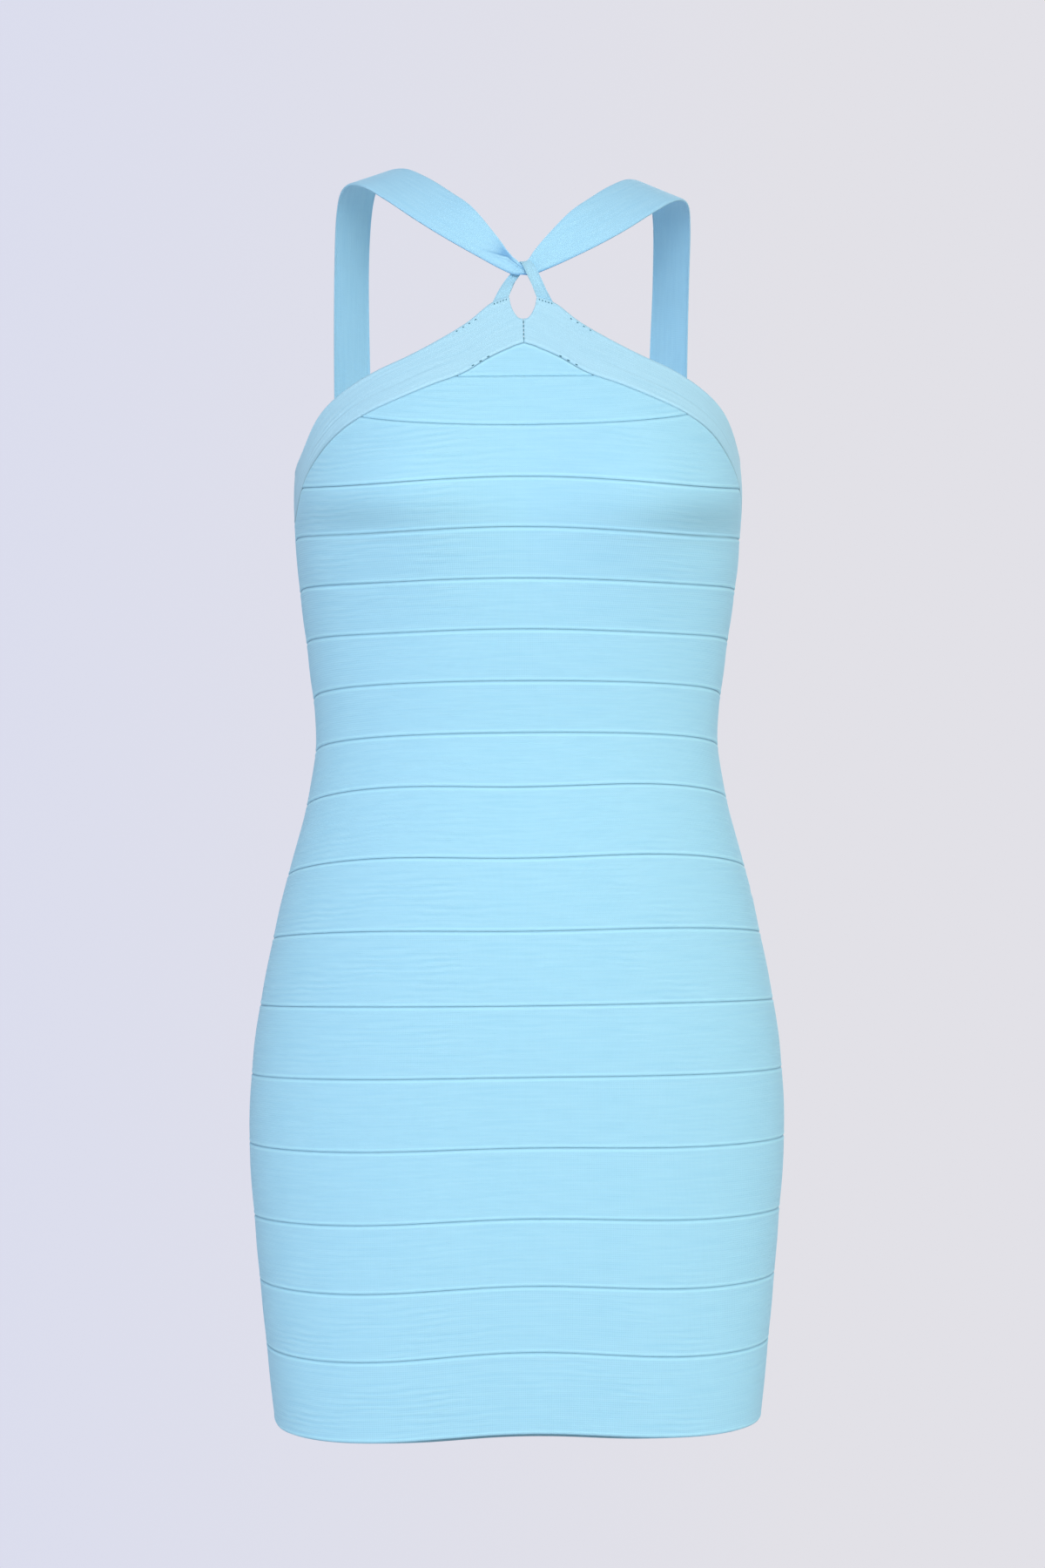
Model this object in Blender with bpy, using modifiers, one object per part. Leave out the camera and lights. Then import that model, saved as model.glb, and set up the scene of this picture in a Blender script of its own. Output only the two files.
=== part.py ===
"""Bodycon bandage dress: knitted strips sewn edge to edge into a hollow, close-fitting tube.

Metres, +Z up. The front faces -Y and +X is to the right of someone looking at it. The origin lies
halfway between the two straps where they cross the tops of the shoulders. Every drop in the tables
is measured straight down from there, as a tape hung from the shoulders would, and the sizes run to
the middle of the cloth's thickness.
"""

from collections import namedtuple

import bmesh
import bpy
import numpy as np

KNIT = 0.0016  # thickness of the knitted strips
SEAM_GAP = 0.0003  # clear space between pieces that are sewn together
BAND_GAP = 0.0006  # the same under a bust band, whose edge runs across the strips
TIP = 0.0015  # a strip that runs out to a point stops where it is this tall
HALF_COLUMNS = 14  # faces of a strip between the centre line and a side seam
BAND_COLUMNS = 20  # the same for the bust bands and the strips they cut off
FRONT, BACK = -1, 1

# Cross-sections: half width at the side seams, reach forward and back, squareness of each half
Section = namedtuple("Section", "drop half_width front back front_square back_square")
SECTIONS = (
    Section(0.064, 0.1200, 0.060, 0.085, 2.4, 2.4),  # collar bones
    Section(0.099, 0.1280, 0.074, 0.094, 2.5, 2.5),
    Section(0.134, 0.1340, 0.089, 0.099, 2.6, 2.6),
    Section(0.169, 0.1378, 0.100, 0.100, 2.8, 2.6),  # shoulder blades
    Section(0.212, 0.1395, 0.106, 0.096, 3.0, 2.5),  # bust
    Section(0.259, 0.1362, 0.099, 0.088, 2.7, 2.4),
    Section(0.309, 0.1300, 0.090, 0.079, 2.4, 2.3),
    Section(0.357, 0.1257, 0.083, 0.074, 2.3, 2.3),  # waist
    Section(0.400, 0.1325, 0.086, 0.081, 2.3, 2.3),
    Section(0.445, 0.1447, 0.093, 0.094, 2.3, 2.3),
    Section(0.490, 0.1548, 0.098, 0.106, 2.3, 2.3),
    Section(0.545, 0.1643, 0.100, 0.113, 2.4, 2.4),  # seat
    Section(0.600, 0.1676, 0.099, 0.110, 2.5, 2.4),  # widest
    Section(0.666, 0.1634, 0.099, 0.099, 2.6, 2.5),
    Section(0.732, 0.1570, 0.097, 0.090, 3.0, 2.6),
    Section(0.784, 0.1515, 0.094, 0.086, 3.3, 2.6),  # hem
)

# Each cup is a soft round added to the front, which fades out at the side seam
CUP_DEPTH = 0.022
CUP_OUT = 0.086
CUP_DROP = 0.213
CUP_ACROSS = 0.040  # spread of the round, to the sides, upwards and downwards
CUP_ABOVE = 0.052
CUP_BELOW = 0.034

# Lean of the wearer: rise for each metre to the right
Lean = namedtuple("Lean", "drop slope")
LEANS = (
    Lean(0.00, -0.0400),
    Lean(0.06, -0.0400),
    Lean(0.09, 0.0120),
    Lean(0.17, 0.0120),
    Lean(0.21, -0.0020),
    Lean(0.27, 0.0010),
    Lean(0.33, 0.0060),
    Lean(0.39, 0.0140),
    Lean(0.43, 0.0145),
    Lean(0.48, 0.0100),
    Lean(0.65, 0.0132),
    Lean(0.79, 0.0117),
)

# Seams between strips: drop at the centre front, how much lower the side is, how much lower the
# line runs halfway to the side, over a cup or a thigh, and how much the centre back is over the side
Seam = namedtuple("Seam", "drop side_fall front_dip back_rise")
SEAMS = (
    Seam(0.1341, 0.0000, 0.0000, 0.000),
    Seam(0.1646, -0.0485, 0.0000, 0.000),  # a bust band covers its ends
    Seam(0.1966, 0.0041, 0.0049, 0.000),
    Seam(0.2272, 0.0042, 0.0041, 0.000),
    Seam(0.2582, 0.0058, 0.0020, 0.004),
    Seam(0.2891, 0.0068, 0.0015, 0.005),
    Seam(0.3207, 0.0098, 0.0004, 0.006),
    Seam(0.3525, 0.0104, 0.0002, 0.007),
    Seam(0.3859, 0.0106, -0.0019, 0.008),
    Seam(0.4296, 0.0106, -0.0021, 0.009),
    Seam(0.4742, 0.0058, -0.0011, 0.009),
    Seam(0.5198, 0.0016, -0.0002, 0.008),
    Seam(0.5635, 0.0008, 0.0005, 0.008),
    Seam(0.6067, 0.0002, 0.0019, 0.009),
    Seam(0.6501, 0.0024, 0.0031, 0.010),
    Seam(0.6913, 0.0009, 0.0042, 0.010),
    Seam(0.7319, 0.0003, 0.0054, 0.010),
    Seam(0.7820, -0.0015, 0.0048, 0.002),  # hem
)
FIRST_BACK_SEAM = 4  # the back is cut lower, and its first seam is this one
BUST_SEAMS = 7  # strips above this seam are curved enough to need a second row of faces

# Lower and upper edge of a bust band, from the centre front (share 0) to the side seam (share 1)
Edge = namedtuple("Edge", "share lower upper")
BUST_BAND = (
    Edge(0.000, 0.1125, 0.0973),  # mitre at the centre, under the keyhole
    Edge(0.018, 0.1136, 0.0966),
    Edge(0.034, 0.1145, 0.0931),
    Edge(0.047, 0.1156, 0.0882),
    Edge(0.054, 0.1162, 0.0832),  # the loop is sewn on from here
    Edge(0.062, 0.1168, 0.0834),
    Edge(0.120, 0.1220, 0.0870),  # to here
    Edge(0.200, 0.1315, 0.0985),
    Edge(0.300, 0.1390, 0.1102),
    Edge(0.400, 0.1475, 0.1205),
    Edge(0.500, 0.1565, 0.1292),
    Edge(0.600, 0.1685, 0.1400),
    Edge(0.700, 0.1865, 0.1538),
    Edge(0.800, 0.2080, 0.1755),
    Edge(0.900, 0.2180, 0.1840),
    Edge(1.000, 0.2200, 0.1860),
)
BACK_BAND = (
    Edge(0.000, 0.2270, 0.1970),
    Edge(0.500, 0.2250, 0.1940),
    Edge(1.000, 0.2200, 0.1860),
)

# Ribbons: places of their two edges, counted to the right, backwards and down
Cut = namedtuple("Cut", "out_1 back_1 drop_1 out_2 back_2 drop_2")
# Right half of the neck strap, from inside the loop to the back band: outer edge, then inner edge
NECK_STRAP = (
    Cut(0.000, -0.0640, 0.0692, 0.000, -0.0634, 0.0648),
    Cut(0.005, -0.0638, 0.0692, 0.004, -0.0631, 0.0629),
    Cut(0.011, -0.0632, 0.0670, 0.008, -0.0614, 0.0572),
    Cut(0.024, -0.0610, 0.0605, 0.015, -0.0575, 0.0445),
    Cut(0.047, -0.0570, 0.0480, 0.030, -0.0490, 0.0275),
    Cut(0.066, -0.0490, 0.0360, 0.043, -0.0370, 0.0170),
    Cut(0.084, -0.0360, 0.0230, 0.058, -0.0190, 0.0060),
    Cut(0.099, -0.0170, 0.0130, 0.072, 0.0010, -0.0010),
    Cut(0.109, 0.0080, 0.0120, 0.084, 0.0220, 0.0020),
    Cut(0.113, 0.0340, 0.0250, 0.090, 0.0440, 0.0180),
    Cut(0.114, 0.0560, 0.0600, 0.092, 0.0680, 0.0550),
    Cut(0.114, 0.0680, 0.1150, 0.091, 0.0810, 0.1120),
    Cut(0.113, 0.0709, 0.1916, 0.089, 0.0855, 0.1934),
)
# Loop, from the right bust band up in front of the strap, over it, and down to the left bust band
NECK_LOOP = (
    Cut(0.0090, -0.0678, 0.0820, 0.0193, -0.0692, 0.0860),
    Cut(0.0056, -0.0685, 0.0758, 0.0140, -0.0690, 0.0775),
    Cut(0.0025, -0.0680, 0.0691, 0.0106, -0.0678, 0.0700),
    Cut(0.0005, -0.0666, 0.0648, 0.0080, -0.0664, 0.0646),
    Cut(-0.0013, -0.0636, 0.0615, 0.0042, -0.0630, 0.0602),
    Cut(-0.0028, -0.0603, 0.0640, 0.0024, -0.0596, 0.0630),
    Cut(-0.0066, -0.0597, 0.0676, -0.0008, -0.0595, 0.0682),
    Cut(-0.0110, -0.0612, 0.0733, -0.0044, -0.0615, 0.0730),
    Cut(-0.0152, -0.0650, 0.0800, -0.0065, -0.0648, 0.0775),
    Cut(-0.0193, -0.0692, 0.0860, -0.0090, -0.0678, 0.0820),
)

# Base colours of the knit
SKY_BLUE = (0.39, 0.74, 0.96)
SHADED_BLUE = (0.36, 0.70, 0.90)


def column(rows, name):
    """One named column of a table."""
    return np.array([getattr(row, name) for row in rows])


def through(x, xs, ys):
    """A smooth curve through a table's points, with the mean slope of its neighbours at each."""
    slopes = np.gradient(ys, xs)
    i = np.clip(np.searchsorted(xs, x) - 1, 0, len(xs) - 2)
    step = xs[i + 1] - xs[i]
    t = np.clip((x - xs[i]) / step, 0.0, 1.0)
    ends = (1 + 2 * t) * (1 - t) ** 2 * ys[i] + t * t * (3 - 2 * t) * ys[i + 1]
    return ends + step * t * (1 - t) * ((1 - t) * slopes[i] - t * slopes[i + 1])


def on_form(share, drop, half):
    """Points of the dress's form, a share of the way round from its centre line to a side seam."""
    depth, square = ("front", "front_square") if half == FRONT else ("back", "back_square")
    drops = column(SECTIONS, "drop")
    wide, deep, power = (
        through(drop, drops, column(SECTIONS, name))[:, None] for name in ("half_width", depth, square)
    )
    turn = np.linspace(0.0, np.pi / 2, 73)[None, :]
    reach = ((np.sin(turn) / wide) ** power + (np.cos(turn) / deep) ** power) ** (-1 / power)
    out = reach * np.sin(turn)
    back = reach * np.cos(turn)
    if half == FRONT:
        below = (drop - CUP_DROP)[:, None]
        spread = np.where(below > 0, CUP_BELOW, CUP_ABOVE)
        beside = (out - CUP_OUT) / CUP_ACROSS
        back = back + CUP_DEPTH * np.cos(turn) * np.exp(-(beside**2 + (below / spread) ** 2) / 2)
    length = np.cumsum(np.hypot(np.diff(out, prepend=0.0), np.diff(back, prepend=back[:, :1])), axis=1)
    walked = np.abs(share)[:, None] * length[:, -1:]
    i = np.clip((length < walked).sum(axis=1) - 1, 0, turn.size - 2)
    row = np.arange(len(i))
    t = (walked[:, 0] - length[row, i]) / (length[row, i + 1] - length[row, i])
    x = np.sign(share) * (out[row, i] + t * (out[row, i + 1] - out[row, i]))
    y = half * (back[row, i] + t * (back[row, i + 1] - back[row, i]))
    lean = np.interp(drop, column(LEANS, "drop"), column(LEANS, "slope"))
    return np.column_stack([x, y, lean * x - drop])


def seam_drop(seam, share, half):
    """Drop of a seam, which falls to the side and dips over a thigh, or rises to the centre back."""
    if half == FRONT:
        fall = seam.side_fall * np.abs(share) ** 3
        return seam.drop + fall + seam.front_dip * np.sin(np.pi * share) ** 2
    return seam.drop + seam.side_fall - seam.back_rise * np.cos(np.pi / 2 * share) ** 2


def band_drop(band, share, edge):
    """Drop of a band's lower or upper edge."""
    return through(np.abs(share), column(band, "share"), column(band, edge))


def make_material(name, color):
    """Matte knit."""
    material = bpy.data.materials.new(name)
    material.use_nodes = True
    shader = material.node_tree.nodes["Principled BSDF"]
    shader.inputs["Base Color"].default_value = (*color, 1.0)
    shader.inputs["Roughness"].default_value = 0.8
    shader.inputs["Metallic"].default_value = 0.0
    return material


def make_cloth(name, place, columns, rows, material):
    """A flat grid laid on the form by place(across, up), and thickened to the knit's wall."""
    shape = bmesh.new()
    bmesh.ops.create_grid(shape, x_segments=columns, y_segments=rows, size=0.5)
    flat = np.array([vertex.co for vertex in shape.verts]) + 0.5
    for vertex, point in zip(shape.verts, place(flat[:, 0], flat[:, 1])):
        vertex.co = point
    mesh = bpy.data.meshes.new(name)
    shape.to_mesh(mesh)
    shape.free()
    mesh.shade_smooth()
    cloth = bpy.data.objects.new(name, mesh)
    cloth.data.materials.append(material)
    wall = cloth.modifiers.new("wall", "SOLIDIFY")
    wall.thickness = KNIT
    wall.offset = 0.0
    wall.use_even_offset = True
    dress.objects.link(cloth)


def make_strip(name, columns, top, bottom, half, rows, material):
    """A strip round one half of the dress, between two lines given by their drops."""

    def place(across, up):
        share = np.interp(across, np.linspace(0.0, 1.0, len(columns)), columns)
        drop = bottom(share) + up * (top(share) - bottom(share))
        return on_form(-half * share, drop, half)

    make_cloth(name, place, len(columns) - 1, rows, material)


def make_front_strips():
    """The strips of the front. The bust bands cut the first few off to points."""
    material = make_material("front_knit", SKY_BLUE)
    fine = np.linspace(0.0, 1.0, 2001)
    under_band = band_drop(BUST_BAND, fine, "lower") + BAND_GAP
    for number, seam in enumerate(SEAMS):
        bottom_line = seam_drop(seam, fine, FRONT) - (SEAM_GAP / 2 if seam is not SEAMS[-1] else 0.0)
        top_line = under_band
        corner = 0.0
        if number > 0:
            seam_line = seam_drop(SEAMS[number - 1], fine, FRONT) + SEAM_GAP / 2
            top_line = np.maximum(seam_line, under_band)
            cut = fine[seam_line < under_band]
            corner = cut[0] if len(cut) else 1.0
        tall = bottom_line - top_line > TIP
        end = fine[tall][-1] if not tall.all() else 1.0
        half_columns = np.linspace(0.0, 1.0, (BAND_COLUMNS if corner < 1.0 else HALF_COLUMNS) + 1)
        half_columns = half_columns[(half_columns < end - 0.01) & (np.abs(half_columns - corner) > 0.01)]
        half_columns = np.sort(np.append(half_columns, [corner, end] if 0.0 < corner < end else end))
        columns = np.concatenate([-half_columns[:0:-1], half_columns])
        make_strip(
            f"front_strip_{number + 1:02d}",
            columns,
            lambda share, line=top_line: np.interp(np.abs(share), fine, line),
            lambda share, line=bottom_line: np.interp(np.abs(share), fine, line),
            FRONT,
            2 if number < BUST_SEAMS else 1,
            material,
        )


def make_back_strips():
    """The strips of the back, from the back band to the hem."""
    material = make_material("back_knit", SKY_BLUE)
    columns = np.linspace(-1.0, 1.0, 2 * HALF_COLUMNS + 1) * (1.0 - SEAM_GAP / 0.2)
    for number in range(FIRST_BACK_SEAM, len(SEAMS)):
        gap = SEAM_GAP / 2 if number < len(SEAMS) - 1 else 0.0

        def bottom(share, seam=SEAMS[number], gap=gap):
            return seam_drop(seam, share, BACK) - gap

        def top(share, above=SEAMS[number - 1], first=number == FIRST_BACK_SEAM):
            if first:
                return band_drop(BACK_BAND, share, "lower") + SEAM_GAP
            return seam_drop(above, share, BACK) + SEAM_GAP / 2

        name = f"back_strip_{number - FIRST_BACK_SEAM + 1:02d}"
        make_strip(name, columns, top, bottom, BACK, 2 if number < BUST_SEAMS else 1, material)


def make_bands():
    """The two bust bands, mitred at the centre front, and the band along the top of the back."""
    material = make_material("band_knit", SHADED_BLUE)
    rows = column(BUST_BAND, "share")
    steps = np.linspace(0.0, 1.0, BAND_COLUMNS + 1)
    shares = np.concatenate([rows[rows < 0.13], steps[steps > 0.13]])
    shares[0] = SEAM_GAP / 0.3
    for side, name in ((-1, "bust_band_left"), (1, "bust_band_right")):
        columns = np.sort(side * shares)
        make_strip(
            name,
            columns,
            lambda share: band_drop(BUST_BAND, share, "upper"),
            lambda share: band_drop(BUST_BAND, share, "lower"),
            FRONT,
            2,
            material,
        )
    make_strip(
        "back_band",
        np.linspace(-1.0, 1.0, 2 * HALF_COLUMNS + 1) * (1.0 - SEAM_GAP / 0.2),
        lambda share: band_drop(BACK_BAND, share, "upper"),
        lambda share: band_drop(BACK_BAND, share, "lower"),
        BACK,
        2,
        material,
    )


def make_ribbon(name, cuts, columns, material):
    """A narrow strip through its cuts."""

    def place(along, up):
        spots = np.arange(len(cuts), dtype=float)
        at = along * (len(cuts) - 1)
        edges = [
            np.column_stack(
                [through(at, spots, column(cuts, f"{part}_{edge}")) for part in ("out", "back", "drop")]
            )
            for edge in (1, 2)
        ]
        points = edges[0] + up[:, None] * (edges[1] - edges[0])
        points[:, 2] = np.interp(points[:, 2], column(LEANS, "drop"), column(LEANS, "slope")) * points[
            :, 0
        ] - points[:, 2]
        return points

    make_cloth(name, place, columns, 2, material)


def make_neck():
    """The neck strap, which runs through the loop from one end of the back band to the other."""
    mirrored = [cut._replace(out_1=-cut.out_1, out_2=-cut.out_2) for cut in NECK_STRAP[:0:-1]]
    make_ribbon("neck_strap", [*mirrored, *NECK_STRAP], 60, make_material("strap_knit", SHADED_BLUE))
    make_ribbon("neck_loop", NECK_LOOP, 24, make_material("loop_knit", SHADED_BLUE))


for old in list(bpy.data.objects):
    bpy.data.objects.remove(old, do_unlink=True)
dress = bpy.data.collections.new("bodycon_dress")
bpy.context.scene.collection.children.link(dress)
make_front_strips()
make_back_strips()
make_bands()
make_neck()
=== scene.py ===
"""Looks of the bandage dress: knit strips, bust bands, neck loop and strap, light and camera."""

from collections import namedtuple

import bpy
import numpy as np
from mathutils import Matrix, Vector


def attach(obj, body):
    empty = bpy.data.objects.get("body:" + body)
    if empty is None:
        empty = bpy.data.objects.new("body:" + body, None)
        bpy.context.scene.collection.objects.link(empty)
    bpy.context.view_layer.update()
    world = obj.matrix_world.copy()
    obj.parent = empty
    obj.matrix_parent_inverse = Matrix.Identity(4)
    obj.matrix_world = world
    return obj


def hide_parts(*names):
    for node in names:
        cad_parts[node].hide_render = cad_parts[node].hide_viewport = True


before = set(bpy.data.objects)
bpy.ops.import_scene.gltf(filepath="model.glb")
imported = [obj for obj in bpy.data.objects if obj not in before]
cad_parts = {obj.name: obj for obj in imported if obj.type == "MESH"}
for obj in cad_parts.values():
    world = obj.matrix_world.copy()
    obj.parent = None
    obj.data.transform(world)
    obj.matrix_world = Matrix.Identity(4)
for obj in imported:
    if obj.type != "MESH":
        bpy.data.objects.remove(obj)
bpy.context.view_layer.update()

# ---------------------------------------------------------------------------------------------
# Camera and light. A level camera stands 3.1 m in front of the dress and a little to its left,
# about waist high. One large soft lamp above the camera and two weaker ones at the sides light
# it, over a pale floor and in front of a pale wall colour.
# ---------------------------------------------------------------------------------------------
DISTANCE = 3.1
TURN = np.radians(-3.2)
EYE_DROP = 0.384
FIELD_HEIGHT = 0.990  # height of the view at the dress
ASIDE = 0.0036  # the dress hangs this far left of the middle of the view
SENSOR = 36.0  # height of the camera's sensor, in millimetres

scene = bpy.context.scene
scene.view_settings.view_transform = "Standard"
lens = bpy.data.cameras.new("view")
lens.sensor_fit = "VERTICAL"
lens.sensor_height = SENSOR
lens.lens = SENSOR * DISTANCE / FIELD_HEIGHT
camera = bpy.data.objects.new("view", lens)
right = Vector((np.cos(TURN), np.sin(TURN), 0.0))
away = Vector((-np.sin(TURN), np.cos(TURN), 0.0))
camera.location = ASIDE * right - DISTANCE * away - Vector((0.0, 0.0, EYE_DROP))
camera.rotation_euler = (np.pi / 2, 0.0, TURN)
scene.collection.objects.link(camera)
scene.camera = camera


def soft_lamp(name, place, target, size, watts, color):
    """A rectangular area lamp at place that looks at target."""
    light = bpy.data.lights.new(name, "AREA")
    light.shape = "RECTANGLE"
    light.size, light.size_y = size
    light.energy = watts
    light.color = color
    lamp = bpy.data.objects.new(name, light)
    lamp.location = place
    lamp.rotation_euler = (Vector(target) - Vector(place)).to_track_quat("-Z", "Y").to_euler()
    scene.collection.objects.link(lamp)


MIDDLE = (0.0, 0.0, -0.40)
soft_lamp("front_softbox", (0.0, -3.0, 1.0), MIDDLE, (1.6, 1.6), 57.0, (1.0, 0.98, 0.97))
soft_lamp("left_fill", (-2.6, -1.2, 0.2), MIDDLE, (1.2, 2.0), 12.5, (0.90, 0.93, 1.0))
soft_lamp("right_fill", (2.6, -1.2, 0.2), MIDDLE, (1.2, 2.0), 16.0, (1.0, 0.96, 0.62))
soft_lamp("back_softbox", (0.6, 3.0, 0.6), MIDDLE, (1.8, 2.2), 42.0, (1.0, 1.0, 1.0))

FLOOR_DROP = 1.30
FLOOR_RADIUS = 2.4
bpy.ops.mesh.primitive_circle_add(
    vertices=96, radius=FLOOR_RADIUS, fill_type="NGON", location=(0, 0, -FLOOR_DROP)
)
floor = bpy.context.object
floor.name = "floor"
paint = bpy.data.materials.new("pale_floor")
paint.use_nodes = True
coat = paint.node_tree.nodes["Principled BSDF"].inputs
coat["Base Color"].default_value = (0.80, 0.81, 0.85, 1.0)
coat["Roughness"].default_value = 0.9
floor.data.materials.append(paint)

# The wall colour runs from a cool grey at the left to a neutral one at the right. The camera sees
# the wall, and the dress is lit by a dimmer sky.
WALL_SPAN = 0.11  # sideways part of the view's direction at which the colour stops changing
world = bpy.data.worlds.new("studio")
scene.world = world
world.use_nodes = True
nodes, links = world.node_tree.nodes, world.node_tree.links
nodes.clear()
direction = nodes.new("ShaderNodeTexCoord")
split = nodes.new("ShaderNodeSeparateXYZ")
ramp = nodes.new("ShaderNodeMapRange")
ramp.inputs["From Min"].default_value = -WALL_SPAN
ramp.inputs["From Max"].default_value = WALL_SPAN
wall = nodes.new("ShaderNodeMix")
wall.data_type = "RGBA"
wall.inputs["A"].default_value = (0.693, 0.716, 0.870, 1.0)
wall.inputs["B"].default_value = (0.760, 0.752, 0.800, 1.0)
backdrop = nodes.new("ShaderNodeBackground")
links.new(direction.outputs["Generated"], split.inputs[0])
links.new(split.outputs["X"], ramp.inputs["Value"])
links.new(ramp.outputs["Result"], wall.inputs["Factor"])
links.new(wall.outputs["Result"], backdrop.inputs["Color"])
sky = nodes.new("ShaderNodeBackground")
sky.inputs["Color"].default_value = (0.80, 0.84, 0.95, 1.0)
sky.inputs["Strength"].default_value = 0.45
ray = nodes.new("ShaderNodeLightPath")
choose = nodes.new("ShaderNodeMixShader")
out = nodes.new("ShaderNodeOutputWorld")
links.new(ray.outputs["Is Camera Ray"], choose.inputs["Fac"])
links.new(sky.outputs[0], choose.inputs[1])
links.new(backdrop.outputs[0], choose.inputs[2])
links.new(choose.outputs[0], out.inputs["Surface"])

# ---------------------------------------------------------------------------------------------
# Front strips. Each is a strip of fine rib knit, stretched flat round the figure and sewn edge to
# edge to its neighbours. Its lower edge laps a little over the strip below, whose upper edge is
# turned in behind the seam. The bust bands cut the first strips off to points.
# ---------------------------------------------------------------------------------------------
KNIT = 0.0016  # wall of the solid that a strip stands for
CLOTH = 0.0011  # the knit itself
FRONT, BACK = -1, 1
# Rings of the form: how far down, half the width, depth in front of and behind the side seams, and
# the power that makes a ring an oval (2) or squarer (3)
Section = namedtuple("Section", "drop half_width front back front_square back_square")
SECTIONS = (
    Section(0.064, 0.1200, 0.060, 0.085, 2.4, 2.4),  # collar bones
    Section(0.099, 0.1280, 0.074, 0.094, 2.5, 2.5),
    Section(0.134, 0.1340, 0.089, 0.099, 2.6, 2.6),
    Section(0.169, 0.1378, 0.100, 0.100, 2.8, 2.6),  # shoulder blades
    Section(0.212, 0.1395, 0.106, 0.096, 3.0, 2.5),  # bust
    Section(0.259, 0.1362, 0.099, 0.088, 2.7, 2.4),
    Section(0.309, 0.1300, 0.090, 0.079, 2.4, 2.3),
    Section(0.357, 0.1257, 0.083, 0.074, 2.3, 2.3),  # waist
    Section(0.400, 0.1325, 0.086, 0.081, 2.3, 2.3),
    Section(0.445, 0.1447, 0.093, 0.094, 2.3, 2.3),
    Section(0.490, 0.1548, 0.098, 0.106, 2.3, 2.3),
    Section(0.545, 0.1643, 0.100, 0.113, 2.4, 2.4),  # seat
    Section(0.600, 0.1676, 0.099, 0.110, 2.5, 2.4),  # widest
    Section(0.666, 0.1634, 0.099, 0.099, 2.6, 2.5),
    Section(0.732, 0.1570, 0.097, 0.090, 3.0, 2.6),
    Section(0.784, 0.1515, 0.094, 0.086, 3.3, 2.6),  # hem
)
RING_STEPS = 181  # places round a quarter of a ring
CUP_DEPTH, CUP_OUT, CUP_DROP = 0.022, 0.086, 0.213  # a cup's height, and the place of its top
CUP_ACROSS, CUP_ABOVE, CUP_BELOW = 0.040, 0.052, 0.034  # its reach sideways, upwards and downwards
# The dress leans: rise of its right side for each metre sideways, at a drop
Lean = namedtuple("Lean", "drop slope")
LEANS = (
    Lean(0.00, -0.0400),
    Lean(0.06, -0.0400),
    Lean(0.09, 0.0120),
    Lean(0.17, 0.0120),
    Lean(0.21, -0.0020),
    Lean(0.27, 0.0010),
    Lean(0.33, 0.0060),
    Lean(0.39, 0.0140),
    Lean(0.43, 0.0145),
    Lean(0.48, 0.0100),
    Lean(0.65, 0.0132),
    Lean(0.79, 0.0117),
)
# Seams between strips: drop at the centre front, fall to the side, dip over a thigh, and rise to
# the centre back
Seam = namedtuple("Seam", "drop side_fall front_dip back_rise")
SEAMS = (
    Seam(0.1341, 0.0000, 0.0000, 0.000),
    Seam(0.1646, -0.0485, 0.0000, 0.000),  # a bust band covers its ends
    Seam(0.1966, 0.0041, 0.0049, 0.000),
    Seam(0.2272, 0.0042, 0.0041, 0.000),
    Seam(0.2582, 0.0058, 0.0020, 0.004),
    Seam(0.2891, 0.0068, 0.0015, 0.005),
    Seam(0.3207, 0.0098, 0.0004, 0.006),
    Seam(0.3525, 0.0104, 0.0002, 0.007),
    Seam(0.3859, 0.0106, -0.0019, 0.008),
    Seam(0.4296, 0.0106, -0.0021, 0.009),
    Seam(0.4742, 0.0058, -0.0011, 0.009),
    Seam(0.5198, 0.0016, -0.0002, 0.008),
    Seam(0.5635, 0.0008, 0.0005, 0.008),
    Seam(0.6067, 0.0002, 0.0019, 0.009),
    Seam(0.6501, 0.0024, 0.0031, 0.010),
    Seam(0.6913, 0.0009, 0.0042, 0.010),
    Seam(0.7319, 0.0003, 0.0054, 0.010),
    Seam(0.7820, -0.0015, 0.0048, 0.002),  # hem
)
# A band's lower and upper edge, as drops at a share of the way from the centre to the side seam
Edge = namedtuple("Edge", "share lower upper")
BUST_BAND = (
    Edge(0.000, 0.1125, 0.0973),  # mitre at the centre, under the keyhole
    Edge(0.018, 0.1136, 0.0966),
    Edge(0.034, 0.1145, 0.0931),
    Edge(0.047, 0.1156, 0.0882),
    Edge(0.054, 0.1162, 0.0832),  # the loop is sewn on from here
    Edge(0.062, 0.1168, 0.0834),
    Edge(0.120, 0.1220, 0.0870),  # to here
    Edge(0.200, 0.1315, 0.0985),
    Edge(0.300, 0.1390, 0.1102),
    Edge(0.400, 0.1475, 0.1205),
    Edge(0.500, 0.1565, 0.1292),
    Edge(0.600, 0.1685, 0.1400),
    Edge(0.700, 0.1865, 0.1538),
    Edge(0.800, 0.2080, 0.1755),
    Edge(0.900, 0.2180, 0.1840),
    Edge(1.000, 0.2200, 0.1860),
)
STRETCH = 1.12  # a strip is worn this many times as long as it is cut
GROOVE = 0.0004  # the edges dip this deep into a seam
ROLL = 0.0007  # within this distance of it
RIDGE = 0.0002  # the sewn edge stands up this much
RIDGE_IN = 0.0015  # at this distance from the seam
RIDGE_REACH = 0.0008  # and falls off over this distance
CROWN = 0.0003  # and each strip stands up this much in its middle
LIP = 0.0032  # turned-in edge behind a seam
LIP_TURN = 0.0008  # it turns in over this height
LIP_DEPTH = 0.0011  # and then lies this deep
SIDE_LIP_TURN = 0.004  # the same for the back's edge at a side seam, as a share
SIDE_LIP_DEPTH = 0.0024
PRESS_DEPTH, PRESS_TONE = 0.0002, 0.3  # depth and shade of a line pressed into a band
HALF_ROUND = 0.2  # length of a strip from the centre to a side seam, about
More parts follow.
